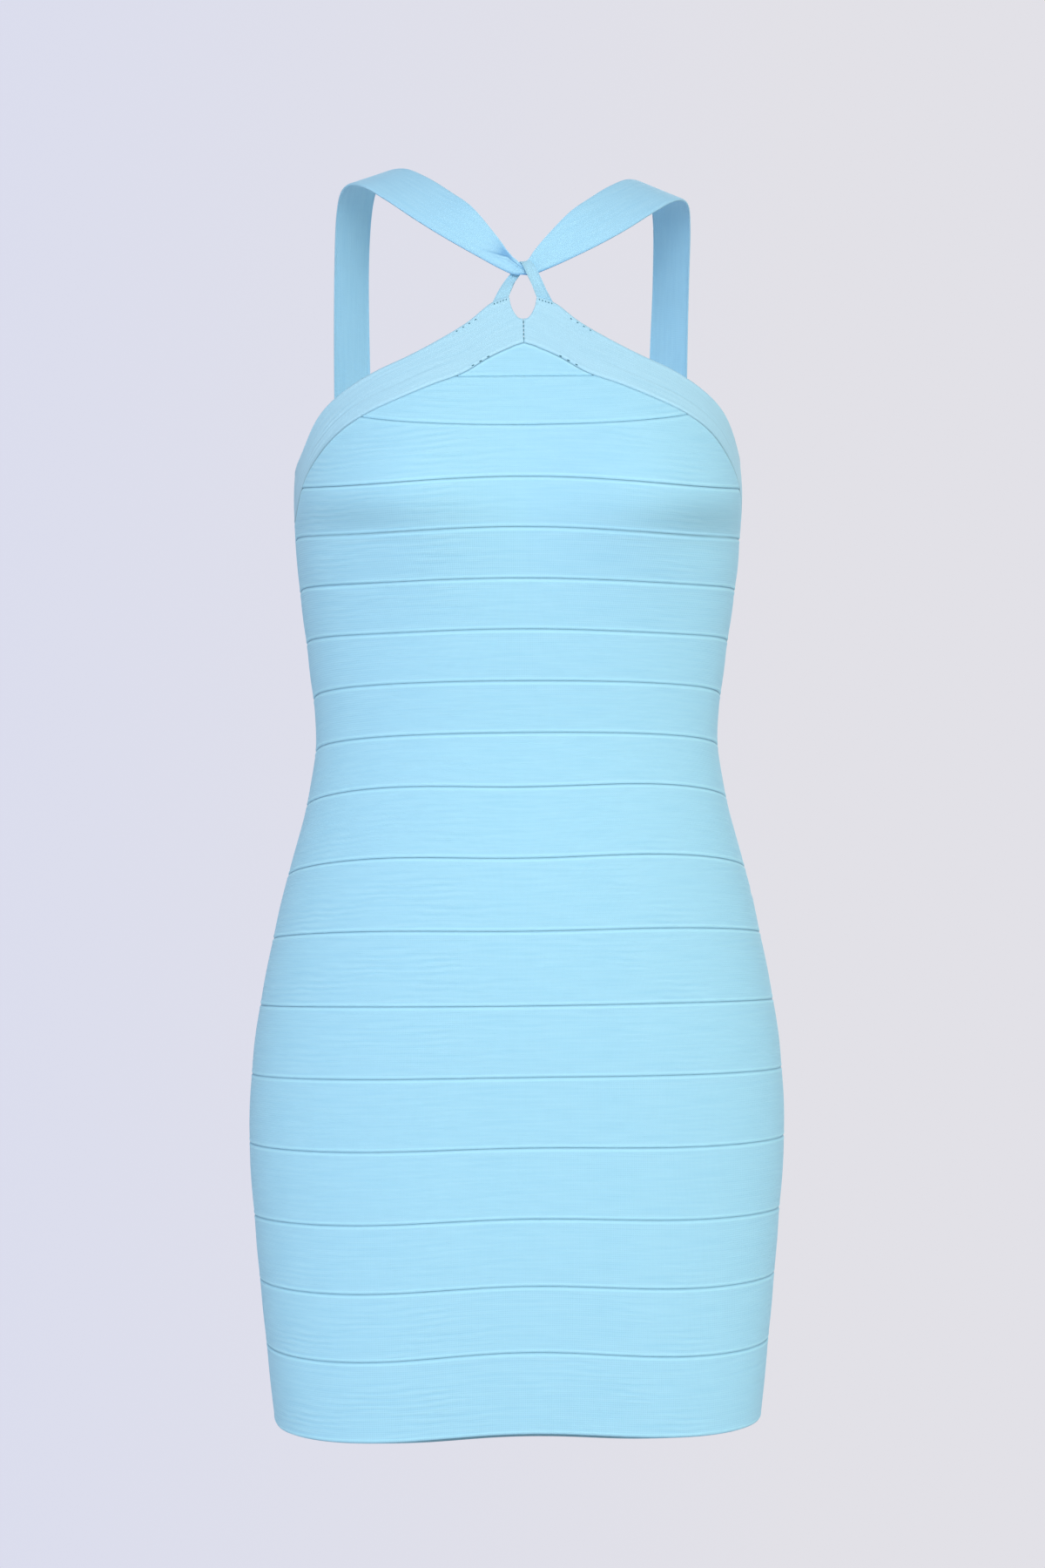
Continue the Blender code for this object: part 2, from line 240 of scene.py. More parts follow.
CLOTH_HALF = 0.19  # and the same length in the knit's own pattern
SEAM_TONE = 1.1  # strength of the painted shade in a seam, and of the painted highlight on the ridge beside it
SEAM_WIDTH = 0.0005
RIDGE_WIDTH = 0.0006
# Painted shade in the back's side seams
SIDE_SEAM_TONE = 0.8
FAINT_SEAMS = {0: 0.25, 1: 0.6}  # the top seams are pressed flatter than the rest, so their painted shade and highlight are weaker
# Painted shade on the hem's lower edge, and painted highlight just above it
HEM_TONE = 0.9
INNER_PLY_TONE = 1500.0  # shade of the hem's inner ply for each metre that it hangs out

# Rows of a strip's grid
EDGE_ZONE = 0.0032  # they stand close together this near to an edge
EDGE_STEPS = np.array([0.0, 0.09, 0.2, 0.34, 0.52, 0.74, 1.0])  # shares of that zone
MIDDLE_STEPS = np.linspace(0.0, 1.0, 9)[1:-1]  # shares of the height between the zones
LINE_STEPS = (-0.0019, -0.0009, -0.0004, 0.0, 0.0004, 0.0009, 0.0019)  # about a pressed line
LIP_STEPS = (0.12, 0.5, 1.0)  # shares of the turned-in edge
PLY_TOP, PLY_END = 0.0003, 0.0005  # the hem's inner ply starts and ends this far below the edge

# Soft creases: centre and reach as shares and drops, slope down for each share, depth below the
# cloth about them
Crease = namedtuple("Crease", "half share share_reach drop drop_reach slope depth")
CREASES = (
    Crease(FRONT, -0.62, 0.22, 0.226, 0.0120, 0.000, 0.0018),  # under the bust
    Crease(FRONT, 0.62, 0.20, 0.226, 0.0120, 0.000, 0.0020),
    Crease(FRONT, -0.78, 0.20, 0.545, 0.0022, -0.030, 0.0007),
    Crease(FRONT, -0.62, 0.22, 0.262, 0.0016, 0.006, 0.0005),
    Crease(FRONT, 0.66, 0.20, 0.268, 0.0018, -0.008, 0.0005),
    Crease(FRONT, -0.40, 0.24, 0.372, 0.0020, 0.004, 0.0004),
    Crease(FRONT, 0.52, 0.26, 0.366, 0.0018, -0.003, 0.0004),
    Crease(FRONT, 0.80, 0.18, 0.452, 0.0022, 0.014, 0.0005),
    Crease(BACK, -0.45, 0.30, 0.340, 0.0024, 0.006, 0.0007),
    Crease(BACK, 0.38, 0.26, 0.366, 0.0022, -0.005, 0.0006),
    Crease(BACK, 0.10, 0.22, 0.384, 0.0020, 0.003, 0.0005),
    Crease(BACK, 0.55, 0.24, 0.640, 0.0026, 0.022, 0.0006),
    Crease(BACK, -0.60, 0.22, 0.655, 0.0024, -0.018, 0.0006),
)
BANK, BANK_OUT = 0.5, 2.0  # height of a crease's banks as a share of its depth, and their place

# Soft shade under each cup
Shadow = namedtuple("Shadow", "share drop drop_reach tone")
BUST_SHADOWS = (Shadow(-0.44, 0.221, 0.012, 0.8), Shadow(0.51, 0.222, 0.013, 1.1))
SHADOW_REACH = 0.26  # as a share


def column(rows, name):
    """One named column of a table."""
    return np.array([getattr(row, name) for row in rows])


def through(x, xs, ys):
    """A smooth curve through a table's points: cubic between two of them, with the slope at each
    taken from its neighbours."""
    slopes = np.gradient(ys, xs)
    i = np.clip(np.searchsorted(xs, x) - 1, 0, len(xs) - 2)
    step = xs[i + 1] - xs[i]
    t = np.clip((x - xs[i]) / step, 0.0, 1.0)
    ends = (1 + 2 * t) * (1 - t) ** 2 * ys[i] + t * t * (3 - 2 * t) * ys[i + 1]
    return ends + step * t * (1 - t) * ((1 - t) * slopes[i] - t * slopes[i + 1])


def on_form(share, drop, half):
    """Points of the dress's form: rounded-square rings, with a soft round added for each cup,
    walked a share of the way from the centre line to a side seam."""
    depth, square = ("front", "front_square") if half == FRONT else ("back", "back_square")
    drops = column(SECTIONS, "drop")
    wide, deep, power = (
        through(drop, drops, column(SECTIONS, name))[:, None]
        for name in ("half_width", depth, square)
    )
    turn = np.linspace(0.0, np.pi / 2, RING_STEPS)[None, :]
    reach = ((np.sin(turn) / wide) ** power + (np.cos(turn) / deep) ** power) ** (-1 / power)
    out = reach * np.sin(turn)
    back = reach * np.cos(turn)
    if half == FRONT:
        below = (drop - CUP_DROP)[:, None]
        spread = np.where(below > 0, CUP_BELOW, CUP_ABOVE)
        beside = (out - CUP_OUT) / CUP_ACROSS
        back = back + CUP_DEPTH * np.cos(turn) * np.exp(-(beside**2 + (below / spread) ** 2) / 2)
    steps = np.hypot(np.diff(out, prepend=0.0), np.diff(back, prepend=back[:, :1]))
    length = np.cumsum(steps, axis=1)
    walked = np.abs(share) * length[:, -1]
    i = np.clip((length < walked[:, None]).sum(axis=1) - 1, 0, turn.size - 2)
    row = np.arange(len(i))
    t = (walked - length[row, i]) / (length[row, i + 1] - length[row, i])
    x = np.sign(share) * (out[row, i] + t * (out[row, i + 1] - out[row, i]))
    y = half * (back[row, i] + t * (back[row, i + 1] - back[row, i]))
    lean = np.interp(drop, column(LEANS, "drop"), column(LEANS, "slope"))
    return np.column_stack([x, y, lean * x - drop])


def seam_drop(seam, share, half):
    """Drop of a seam: in front it falls with the cube of the share to the side and dips over each
    thigh, and behind it rises to the centre back."""
    if half == FRONT:
        fall = seam.side_fall * np.abs(share) ** 3
        return seam.drop + fall + seam.front_dip * np.sin(np.pi * share) ** 2
    rise = seam.back_rise * np.cos(np.pi / 2 * np.minimum(np.abs(share), 1.0)) ** 2
    return seam.drop + seam.side_fall - rise


def band_drop(band, share, edge):
    """Drop of a band's lower or upper edge."""
    return through(np.abs(share), column(band, "share"), column(band, edge))


def crease_depth(share, drop, half):
    """Sum of the half's creases: each is a trough along a line with a low bank on each side, and
    fades towards its ends."""
    depth = np.zeros_like(share)
    for crease in CREASES:
        if crease.half == half:
            along = (share - crease.share) / crease.share_reach
            line = crease.drop + crease.slope * (share - crease.share)
            across = (drop - line) / crease.drop_reach
            trough = np.exp(-(across**2)) - BANK * np.exp(-((np.abs(across) - BANK_OUT) ** 2))
            depth += crease.depth * np.exp(-(along**2)) * trough
    return depth


def bust_shade(share, drop):
    """Soft round shade under each cup: a bell about a place on each side of the front."""
    shade = np.zeros_like(share)
    for shadow in BUST_SHADOWS:
        beside = (share - shadow.share) / SHADOW_REACH
        below = (drop - shadow.drop) / shadow.drop_reach
        shade += shadow.tone * np.exp(-(beside**2) - below**2)
    return shade


def surface(name, points, cloth, material, node):
    """A named shell on a grid of points, thickened inwards, that rides on the dress and stands for
    one solid. cloth holds each point's way along the strip, its height in it, and its shade."""
    rows, columns = points.shape[:2]
    corner = (np.arange(rows - 1)[:, None] * columns + np.arange(columns - 1)[None, :]).ravel()
    quads = np.column_stack([corner, corner + 1, corner + columns + 1, corner + columns])
    mesh = bpy.data.meshes.new(name)
    mesh.from_pydata(points.reshape(-1, 3), [], quads.tolist())
    way = mesh.attributes.new("cloth", "FLOAT_VECTOR", "POINT")
    way.data.foreach_set("vector", cloth.reshape(-1).astype(np.float32))
    mesh.shade_smooth()
    mesh.materials.append(material)
    piece = bpy.data.objects.new(name, mesh)
    scene.collection.objects.link(piece)
    wall = piece.modifiers.new("wall", "SOLIDIFY")
    wall.thickness = CLOTH
    wall.offset = -1.0
    wall.use_even_offset = False
    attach(piece, "root")
    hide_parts(node)
    return piece


def lifted(points, lift):
    """The grid moved out along its own normals."""
    normal = np.cross(np.gradient(points, axis=1), np.gradient(points, axis=0))
    normal /= np.linalg.norm(normal, axis=2, keepdims=True)
    return points + normal * lift[:, :, None]


def quad_areas(points):
    """Area of each cell of a grid, as half the cross product of its diagonals."""
    first = points[1:, 1:] - points[:-1, :-1]
    second = points[1:, :-1] - points[:-1, 1:]
    return np.linalg.norm(np.cross(first, second), axis=2) / 2


def declare_sheet(points):
    """Work out the cut length, height and area of a stretched strip from the part of its grid that
    shows; none of them is kept.
    """
    along = np.linalg.norm(np.diff(points, axis=1), axis=2).sum(axis=1).max() / STRETCH
    tall = np.linalg.norm(np.diff(points, axis=0), axis=2).sum(axis=0).max()
    area = quad_areas(points).sum() / STRETCH


def strip_rows(height, lip, sag, line):
    """Heights of the grid's rows in a strip of the given height at each column: close together
    near both edges and near a pressed line, with more in the turned-in lip and in the hem's inner
    ply. A strip's narrow ends have a narrower zone and a shorter lip."""
    zone = np.minimum(EDGE_ZONE, height / 3)
    rows = [zone * k for k in EDGE_STEPS]
    rows += [zone + (height - 2 * zone) * k for k in MIDDLE_STEPS]
    rows += [height - zone * k for k in EDGE_STEPS[::-1]]
    if line:
        rows += [height * line + k for k in LINE_STEPS]
    rows = list(np.sort(np.array(rows), axis=0))
    if lip:
        rows += [height + np.minimum(LIP, 0.3 * height + 0.0008) * k for k in LIP_STEPS]
    if sag is not None:
        rows = [-PLY_END - sag, np.full_like(sag, -PLY_TOP), *rows]
    return np.array(rows)


def seam_shade(distance):
    """Painted shade at a distance from a seam: a dark bell in the seam itself, less a painted
    highlight, a bell on the sewn edge that stands up beside it."""
    ridge = np.exp(-(((distance - RIDGE_IN) / RIDGE_WIDTH) ** 2))
    return SEAM_TONE * np.exp(-((distance / SEAM_WIDTH) ** 2)) - SEAM_TONE * ridge


def pressed_line(share, above):
    """A line pressed into a band over the middle of its length: a narrow bell of the height above
    the line, fading out over a tenth of a share at each end."""
    start = np.clip((np.abs(share) - 0.22) / 0.1, 0, 1)
    end = np.clip((0.8 - np.abs(share)) / 0.1, 0, 1)
    return start * end * np.exp(-((above / 0.0006) ** 2))


def under_arm_shade(share, up):
    """Shade on a band's lower edge that grows and widens from the bust to the side seam."""
    outer = np.clip((np.abs(share) - 0.45) / 0.2, 0, 1)
    return 1.8 * outer * np.exp(-((up / (0.0009 + 0.0008 * outer)) ** 2))


def strip_piece(
    node, shares, top, bottom, half, material, lip=True, sag=None, line=None, tones=(1.0, 1.0)
):
    """One strip: its rows rise from the line bottom to the line top, its edges dip to the seams,
    its middle is crowned, and its upper edge is turned in behind the seam. A hem's inner ply hangs
    out by sag. A band may have a pressed line at a share of its height. tones are the strengths of
    the painted shade and highlight in the lower and the upper seam."""
    low, high = bottom(shares), top(shares)
    up = strip_rows(low - high, lip, sag, line)
    share = np.broadcast_to(shares, up.shape)
    drop = low[None, :] - up
    points = on_form(-half * share.ravel(), drop.ravel(), half).reshape(*up.shape, 3)
    height = (low - high)[None, :]
    from_top = np.abs(height - up)
    edge = np.minimum(np.abs(up), from_top)
    narrow = np.clip(height / (4 * RIDGE_IN), 0, 1)
    # Out from the middle of the wall: dips at the seams, ridges beside them and a crown between
    lift = KNIT / 2 - GROOVE * np.exp(-((edge / ROLL) ** 2))
    lift += narrow * RIDGE * np.exp(-(((edge - RIDGE_IN) / RIDGE_REACH) ** 2))
    lift += CROWN * np.sin(np.pi * np.clip(up / height, 0, 1))
    lift -= crease_depth(-half * share, drop, half)
    # Painted shade in the seams and painted highlight on the ridges beside them
    shade = narrow * (tones[0] * seam_shade(np.abs(up)) + tones[1] * seam_shade(from_top))
    if half == FRONT:
        shade += bust_shade(-half * share, drop)
    if line:
        pressed = pressed_line(share, up - line * height)
        lift -= PRESS_DEPTH * pressed
        shade += PRESS_TONE * pressed + under_arm_shade(share, up)
    # In at the edges: the upper one behind its seam, a hem's inner ply, and the back's side edges
    tucked = np.clip((up - height) / LIP_TURN, 0, 1)
    inner = up < -PLY_TOP / 2
    if sag is not None:
        tucked = np.maximum(tucked, inner)
    aside = np.clip((np.abs(share) - 1.0) / SIDE_LIP_TURN, 0, 1)
    side_edge = np.abs(1.0 - np.abs(share)) * HALF_ROUND
    lift -= GROOVE * np.exp(-((side_edge / ROLL) ** 2)) * (1 - aside)
    lift = lift * (1 - tucked) - LIP_DEPTH * tucked
    lift = lift * (1 - aside) - SIDE_LIP_DEPTH * aside
    # Painted shade in the back's side seams
    if half == BACK:
        side_seam = SIDE_SEAM_TONE * np.exp(-((side_edge / RIDGE_WIDTH) ** 2))
        shade = np.maximum(shade, side_seam)
    # Turned-in edges and the hem's inner ply get full painted shade
    hidden = np.maximum(tucked, aside)
    shade = shade * (1 - hidden) + hidden
    if sag is not None:
        shade += INNER_PLY_TONE * sag[None, :] * inner
    cloth = np.stack([share * CLOTH_HALF, up, shade], axis=2)
    piece = surface(f"{node}_knit", lifted(points, lift), cloth, material, node)
    declare_sheet(points[: -len(LIP_STEPS) if lip else None])


RIB, STITCH, WAVE = 0.0013, 0.0012, 0.0042  # spacing of the knit's ribs, stitches and waves
WANDER = 0.009  # the waves wander up and down by this much
PULL_SPAN = 0.28  # from the bust to the hips, the two places where the knit is pulled most
PULL_DROP = 0.27  # drop of the place a quarter of that below the bust


def knit_material(name, deep, pale, shade=(0.45, 0.45, 0.45), relief=0.35):
    """Fine rib knit. Ribs run along the strip and stitches across it, both as bump. The colour
    drifts between deep and pale in long faint streaks. Painted shade takes it towards shade times
    deep where the cloth's shade value is above 0, and painted highlight makes it paler where that
    value is below 0. Waves show in patches, most at the bust and the hips."""
    material = bpy.data.materials.new(name)
    material.use_nodes = True
    nodes, links = material.node_tree.nodes, material.node_tree.links
    shader = nodes["Principled BSDF"]
    shader.inputs["Roughness"].default_value = 0.78
    shader.inputs["Specular IOR Level"].default_value = 0.25
    shader.inputs["Sheen Weight"].default_value = 0.25
    shader.inputs["Sheen Roughness"].default_value = 0.5
    shader.inputs["Sheen Tint"].default_value = (0.75, 0.9, 1.0, 1.0)

    def math(kind, a, b=None):
        """The sum, product or other kind of result of two values or sockets."""
        node = nodes.new("ShaderNodeMath")
        node.operation = kind
        for socket, value in zip(node.inputs, (a, b)):
            if value is None:
                continue
            if isinstance(value, (int, float)):
                socket.default_value = value
            else:
                links.new(value, socket)
        return node.outputs[0]

    def noise(stretch, detail):
        """Noise over the cloth, with stretch as its number of spots for each metre either way."""
        place = nodes.new("ShaderNodeMapping")
        place.inputs["Scale"].default_value = stretch
        links.new(way.outputs["Vector"], place.inputs["Vector"])
        texture = nodes.new("ShaderNodeTexNoise")
        texture.inputs["Scale"].default_value = 1.0
        texture.inputs["Detail"].default_value = detail
        links.new(place.outputs[0], texture.inputs["Vector"])
        return texture.outputs["Fac"]

    way = nodes.new("ShaderNodeAttribute")
    way.attribute_name = "cloth"
    parts = nodes.new("ShaderNodeSeparateXYZ")
    links.new(way.outputs["Vector"], parts.inputs[0])
    # The third value is painted shade where it is above 0 and painted highlight where it is below 0
    along, up, seam = parts.outputs
    # Patches where the waves show, stronger where the knit is pulled and faint in between
    patches = math("MULTIPLY", math("SUBTRACT", noise((18.0, 26.0, 0.0), 1.0), 0.45), 4.0)
    patches = math("MAXIMUM", patches, 0.08)
    spot = nodes.new("ShaderNodeTexCoord")
    spots = nodes.new("ShaderNodeSeparateXYZ")
    links.new(spot.outputs["Object"], spots.inputs[0])
    below = math("ADD", spots.outputs["Z"], PULL_DROP)
    pull = math("SINE", math("MULTIPLY", below, 2 * np.pi / PULL_SPAN))
    patches = math("MULTIPLY", patches, math("ADD", math("MULTIPLY", pull, 0.9), 1.0))
    streaks = math("SUBTRACT", noise((34.0, 520.0, 0.0), 3.0), 0.5)
    wander = math("MULTIPLY", noise((30.0, 60.0, 0.0), 2.0), WANDER)
    waves = math("SINE", math("MULTIPLY", math("ADD", up, wander), 2 * np.pi / WAVE))
    waves = math("MULTIPLY", waves, patches)
    ribs = math("SINE", math("MULTIPLY", up, 2 * np.pi / RIB))
    stitches = math("SINE", math("MULTIPLY", along, 2 * np.pi / STITCH))
    height = math("ADD", math("MULTIPLY", ribs, 0.35), math("MULTIPLY", stitches, 0.25))
    height = math("ADD", height, math("MULTIPLY", math("MULTIPLY", streaks, patches), 4.0))
    height = math("ADD", height, math("MULTIPLY", waves, 0.4))
    bump = nodes.new("ShaderNodeBump")
    bump.inputs["Strength"].default_value = relief
    bump.inputs["Distance"].default_value = 0.0003
    links.new(height, bump.inputs["Height"])
    links.new(bump.outputs["Normal"], shader.inputs["Normal"])

    # Colour: the drift, then painted shade towards dark, then painted highlight towards light
    drift = nodes.new("ShaderNodeMix")
    drift.data_type = "RGBA"
    drift.inputs["A"].default_value = (*deep, 1.0)
    drift.inputs["B"].default_value = (*pale, 1.0)
    mottle = math("ADD", math("MULTIPLY", streaks, 1.5), math("MULTIPLY", waves, 0.25))
    links.new(math("ADD", mottle, 0.5), drift.inputs["Factor"])
    color = drift.outputs["Result"]
    dark = [s * c for s, c in zip(shade, deep)]
    light = [min(1.0, 1.1 * c) for c in pale]
    painted_shade_amount = math("MAXIMUM", seam, 0.0)
    painted_highlight_amount = math("MAXIMUM", math("MULTIPLY", seam, -1.0), 0.0)
    for tone, amount, most in ((dark, painted_shade_amount, 0.34), (light, painted_highlight_amount, 0.9)):
        shaded = nodes.new("ShaderNodeMix")
        shaded.data_type = "RGBA"
        shaded.inputs["B"].default_value = (*tone, 1.0)
        links.new(color, shaded.inputs["A"])
        links.new(math("MULTIPLY", amount, most), shaded.inputs["Factor"])
        color = shaded.outputs["Result"]
    links.new(color, shader.inputs["Base Color"])
    return material


def both_sides(half_shares):
    """Shares from one side to the other, from those of one half that start at the centre."""
    return np.concatenate([-half_shares[:0:-1], half_shares])


front_knit = knit_material("front_knit", (0.36, 0.71, 0.90), (0.42, 0.77, 0.94))
SEAM_GAP, BAND_GAP = 0.0001, 0.0002  # from a strip to a seam's line, and to a band's edge
TIP = 0.0006  # a pointed strip ends where it is this narrow
SAG, SAG_HALF = 0.0011, 0.36  # the hem's inner ply hangs out by this, over this half share
fine = np.linspace(0.0, 1.0, 2001)
under_band = band_drop(BUST_BAND, fine, "lower") + BAND_GAP
for number, seam in enumerate(SEAMS):
    hem = seam is SEAMS[-1]
    bottom_line = seam_drop(seam, fine, FRONT) - (0.0 if hem else SEAM_GAP)
    top_line = under_band
    if number:
        top_line = np.maximum(seam_drop(SEAMS[number - 1], fine, FRONT) + SEAM_GAP, under_band)
    tall = bottom_line - top_line > TIP
    end = 1.0 if tall.all() else fine[tall][-1]
    shares = both_sides(np.linspace(0.0, 1.0, 91) * end)
    # the hem's inner ply shows under the middle of its edge
    hem_sag = SAG * np.exp(-((np.abs(shares) / SAG_HALF) ** 6)) if hem else None
    strip_piece(
        f"front_strip_{number + 1:02d}",
        shares,
        lambda share: np.interp(np.abs(share), fine, top_line),
        lambda share: np.interp(np.abs(share), fine, bottom_line),
        FRONT,
        front_knit,
        sag=hem_sag,
        tones=(
            HEM_TONE if hem else FAINT_SEAMS.get(number, 1.0),
            FAINT_SEAMS.get(number - 1, 1.0),
        ),
    )

# ---------------------------------------------------------------------------------------------
# Back strips. The same knit in strips that meet the front ones at the side seams. The back edge of
# each side seam is turned in under the front.
# ---------------------------------------------------------------------------------------------
FIRST_BACK_SEAM = 4
BACK_BAND = (
    Edge(0.000, 0.2270, 0.1970),
    Edge(0.500, 0.2250, 0.1940),
    Edge(1.000, 0.2200, 0.1860),
)
back_knit = knit_material("back_knit", (0.36, 0.71, 0.90), (0.42, 0.77, 0.94))
back_shares = both_sides(np.concatenate([np.linspace(0.0, 0.9985, 90), [1.004, 1.015]]))


def back_band_drop(share, edge):
    """Drop of the back band's edge, level past the side seams."""
    return band_drop(BACK_BAND, np.minimum(np.abs(share), 1.0), edge)


for number in range(FIRST_BACK_SEAM, len(SEAMS)):
    gap = 0.0 if number == len(SEAMS) - 1 else SEAM_GAP

    def bottom(share):
        """The seam below the strip."""
        return seam_drop(SEAMS[number], share, BACK) - gap

    def top(share):
        """The seam above the strip, or the band's lower edge above the first one."""
        if number == FIRST_BACK_SEAM:
            return back_band_drop(share, "lower") + BAND_GAP
        return seam_drop(SEAMS[number - 1], share, BACK) + SEAM_GAP

    name = f"back_strip_{number - FIRST_BACK_SEAM + 1:02d}"
    strip_piece(name, back_shares, top, bottom, BACK, back_knit)

# ---------------------------------------------------------------------------------------------
# Bands. Two bust bands of doubled knit rise from the side seams to a mitre at the centre front, and
# one band finishes the top of the back. Their lower edges lie on the strips, and their upper edges
# are folded over.
# ---------------------------------------------------------------------------------------------
PRESSED_AT = 0.38  # share of a bust band's height at which a line is pressed into it
BAND_TONES = (0.6, 0.0)  # a band's lower edge is sewn down and gets painted seam shade, and its upper edge is a fold
band_knit = knit_material("band_knit", (0.40, 0.70, 0.86), (0.46, 0.76, 0.91))
# The grid is finer near the mitre, where the upper edge turns down round the keyhole
band_half = np.concatenate([np.linspace(0.0008, 0.13, 40), np.linspace(0.13, 1.0, 90)[1:]])
for side, name in ((-1, "bust_band_left"), (1, "bust_band_right")):
    strip_piece(
        name,
        np.sort(side * band_half),
        lambda share: band_drop(BUST_BAND, share, "upper"),
        lambda share: band_drop(BUST_BAND, share, "lower"),
        FRONT,
        band_knit,
        lip=False,
        line=PRESSED_AT,
        tones=BAND_TONES,
    )
strip_piece(
    "back_band",
    back_shares,
    lambda share: back_band_drop(share, "upper"),
    lambda share: back_band_drop(share, "lower"),
    BACK,
    band_knit,
    lip=False,
    tones=BAND_TONES,
)

# ---------------------------------------------------------------------------------------------
# Hand stitches. Short dark threads hold the mitre, the loop's two ends and the first few
# centimetres of the bands, where the machine seams start and stop.
# ---------------------------------------------------------------------------------------------
THREAD = 0.00028  # radius
THREAD_SIDES = 6
# A thread's rings: places from end to end, from -1 to 1, and their shares of its radius
RINGS = np.array([-1.0, -0.85, -0.4, 0.4, 0.85, 1.0])
RING_SIZES = np.array([0.35, 0.8, 1.0, 1.0, 0.8, 0.35])


def stitch_row(name, start, end, count, length, slant):
    """A row of threads on the front from start to end, each given as a share and a drop. A thread
    is a rounded rod, turned by slant from the level and laid on the form's outer face."""
    t = (np.arange(count) + 0.5) / count
    share = start[0] + (end[0] - start[0]) * t
    drop = start[1] + (end[1] - start[1]) * t
    spot = on_form(share, drop, FRONT)
    level = on_form(share + 0.002, drop, FRONT) - spot
    rise = on_form(share, drop - 0.0004, FRONT) - spot
    normal = np.cross(level, rise)
    level, rise, normal = (
        v / np.linalg.norm(v, axis=1, keepdims=True) for v in (level, rise, normal)
    )
    normal *= np.sign(-normal[:, 1:2])
    axis = np.cos(slant) * level + np.sin(slant) * rise
    cross = np.cross(normal, axis)
    turn = np.linspace(0.0, 2 * np.pi, THREAD_SIDES + 1)[:-1]
    around = (
        np.cos(turn)[None, None, :, None] * normal[:, None, None, :]
        + np.sin(turn)[None, None, :, None] * cross[:, None, None, :]
    )
    laid = spot + normal * (KNIT / 2 + CROWN + 0.4 * THREAD)
    rods = (
        laid[:, None, None, :]
        + axis[:, None, None, :] * (RINGS * length / 2)[None, :, None, None]
        + (RING_SIZES * THREAD)[None, :, None, None] * around
    )
    ring = np.arange(len(RINGS) - 1)[:, None] * THREAD_SIDES
    side = np.arange(THREAD_SIDES)[None, :]
    first = ring + side
    after = ring + (side + 1) % THREAD_SIDES
    sides = np.stack(
        [first, first + THREAD_SIDES, after + THREAD_SIDES, after], axis=2
    ).reshape(-1, 4)
    points = len(RINGS) * THREAD_SIDES
    faces = []
    for rod in range(count):
        start, end = points * rod, points * (rod + 1)
        faces += (sides + start).tolist()
        faces += [list(range(start, start + THREAD_SIDES))]
        faces += [list(range(end - 1, end - 1 - THREAD_SIDES, -1))]
    mesh = bpy.data.meshes.new(name)
    mesh.from_pydata(rods.reshape(-1, 3), [], faces)
    mesh.shade_smooth()
    mesh.materials.append(thread)
    piece = bpy.data.objects.new(name, mesh)
    scene.collection.objects.link(piece)
    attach(piece, "root")


PLY = 0.0004  # length of one turn of the thread's twist
thread = bpy.data.materials.new("thread")
thread.use_nodes = True
nodes, links = thread.node_tree.nodes, thread.node_tree.links
shader = nodes["Principled BSDF"]
shader.inputs["Roughness"].default_value = 0.6
spot = nodes.new("ShaderNodeTexCoord")
plies = nodes.new("ShaderNodeTexWave")
plies.bands_direction = "DIAGONAL"
# At a scale of 1 the texture's bands repeat every 2 pi / 10
plies.inputs["Scale"].default_value = 2 * np.pi / 10 / PLY
plies.inputs["Distortion"].default_value = 1.5
links.new(spot.outputs["Object"], plies.inputs["Vector"])
twist = nodes.new("ShaderNodeMix")
twist.data_type = "RGBA"
twist.inputs["A"].default_value = (0.05, 0.19, 0.25, 1.0)
twist.inputs["B"].default_value = (0.09, 0.25, 0.31, 1.0)
groove = nodes.new("ShaderNodeBump")
groove.inputs["Strength"].default_value = 0.5
groove.inputs["Distance"].default_value = 0.0001
links.new(plies.outputs["Fac"], twist.inputs["Factor"])
links.new(plies.outputs["Fac"], groove.inputs["Height"])
links.new(twist.outputs["Result"], shader.inputs["Base Color"])
links.new(groove.outputs["Normal"], shader.inputs["Normal"])

# Rows on each side of the front: start, end, number of threads, their length and their slant
SIDE_ROWS = {
    "loop_end_stitches": ((0.058, 0.0850), (0.115, 0.0884), 5, 0.0010, -1.2),
    "band_start_stitches": ((0.110, 0.1205), (0.185, 0.1289), 3, 0.0016, -0.5),
    "band_edge_stitches": ((0.165, 0.0968), (0.250, 0.1066), 4, 0.0011, -0.6),
}
stitch_row("mitre_stitches", (0.0, 0.0985), (0.0, 0.1118), 5, 0.0018, np.pi / 2)
for side, where in ((-1, "left"), (1, "right")):
    for name, (start, end, count, length, slant) in SIDE_ROWS.items():
        start, end = (side * start[0], start[1]), (side * end[0], end[1])
        stitch_row(f"{name}_{where}", start, end, count, length, side * slant)

